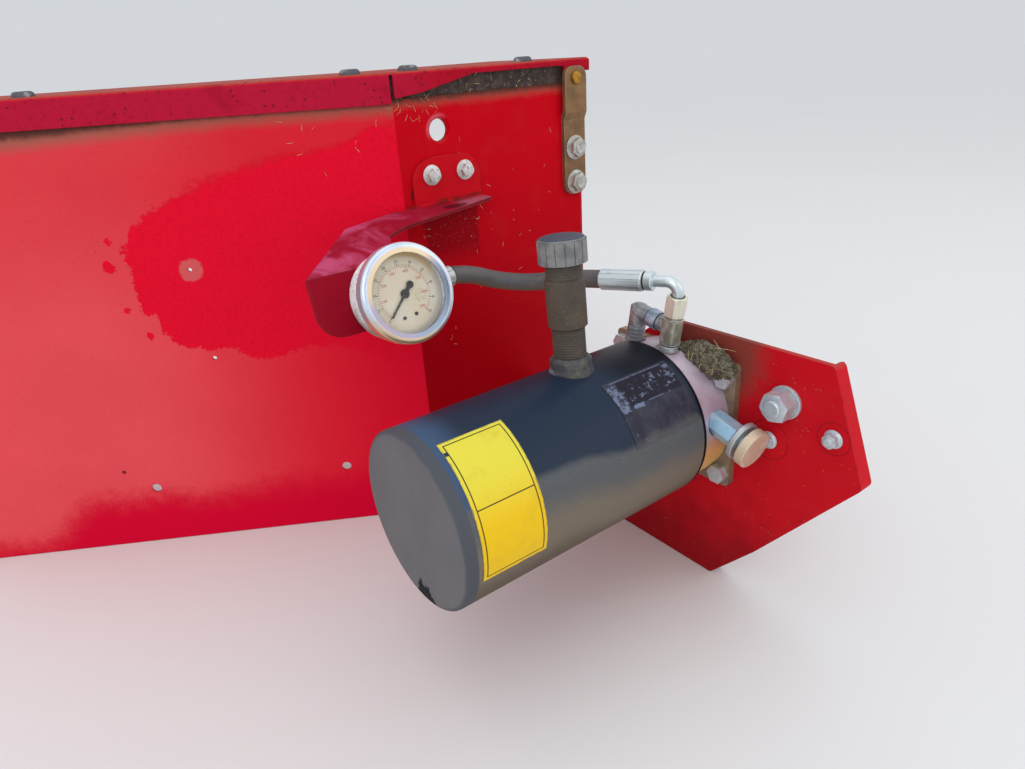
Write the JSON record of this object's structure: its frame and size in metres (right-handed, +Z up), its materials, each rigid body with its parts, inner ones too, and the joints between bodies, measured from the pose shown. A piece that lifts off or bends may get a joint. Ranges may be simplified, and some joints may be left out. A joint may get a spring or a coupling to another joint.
{
  "type": "bale tension unit of a small square baler",
  "caption": "Hydraulic bale-tension pump and tank on a gusset, with pressure gauge, filler neck, hose and the folded corner panel and lid that carry it.",
  "frame": {"origin": "middle of the four bolts that hold the steel angle to the machine's side wall", "axes": "+Z up, +X out of the mount into the wall, along the tank from its closed end to the pump, +Y from the tank towards the panel"},
  "size_m": [0.5886, 0.6976, 0.398],
  "materials": {
    "red_paint": "worn gloss enamel",
    "tank_paint": "dusty dark enamel",
    "zinc": "zinc plate",
    "yellow_zinc": "yellow zinc plate, weathered",
    "plain_steel": "dusty steel",
    "tan_steel": "stained steel",
    "cast_alloy": "cast, satin",
    "chrome": "polished",
    "case_steel": "speckled",
    "hose_rubber": "dusty",
    "seal_rubber": "dusty",
    "dial_face": "cream print",
    "lens": "clear",
    "black_paint": "matt"
  },
  "bodies": {
    "unit": {"bearing_cover": "plain_steel", "bent_tube": "zinc", "bracket_bolts": "zinc", "branch_elbow": "zinc", "corner_strap": "yellow_zinc", "filler_bung": "tank_paint", "foot_bolts": "zinc", "front_panel": "red_paint", "gauge_bezel": "chrome", "gauge_bracket": "red_paint", "gauge_case": "case_steel", "gauge_crimp": "zinc", "gauge_dial": "dial_face", "gauge_elbow": "zinc", "gauge_lens": "lens", "gauge_locknut": "zinc", "gusset_bolts": "zinc", "gusset_plate": "red_paint", "lid": "red_paint", "lid_screws": "yellow_zinc", "lower_nipple": "plain_steel", "mount_angle": "red_paint", "neck_coupling": "plain_steel", "packing_bar": "plain_steel", "plate_bolts": "zinc", "port_adapter": "zinc", "pressure_hose": "hose_rubber", "pump_head": "cast_alloy", "pump_plate": "tan_steel", "relief_body": "zinc", "relief_knob": "zinc", "relief_ring": "zinc", "seal_strip": "seal_rubber", "strap_bolts": "yellow_zinc", "strap_rivet": "yellow_zinc", "swivel_nut": "zinc", "tank_end": "tank_paint", "tank_shell": "tank_paint", "tee_body": "zinc", "tee_crimp": "zinc", "upper_nipple": "plain_steel"},
    "shaft": {"drive_shaft": "plain_steel"},
    "cap": {"filler_cap": "plain_steel"},
    "pointer": {"gauge_pointer": "black_paint"}
  },
  "joints": [
    {"name": "shaft_turn", "type": "hinge", "parent": "unit", "child": "shaft", "pos_m": [-0.05, -0.2485, -0.0515], "axis": [1, 0, 0], "continuous": true},
    {"name": "cap_lift", "type": "slide", "parent": "unit", "child": "cap", "axis": [0, 0.0698, 0.9976], "range_m": [0, 0.06]},
    {"name": "pointer_turn", "type": "hinge", "parent": "unit", "child": "pointer", "pos_m": [-0.2683, -0.1689, 0.0652], "axis": [0, 0.9568, -0.2907], "range_deg": [0, 270], "stiffness_Nm_per_rad": 0.0002}
  ]
}
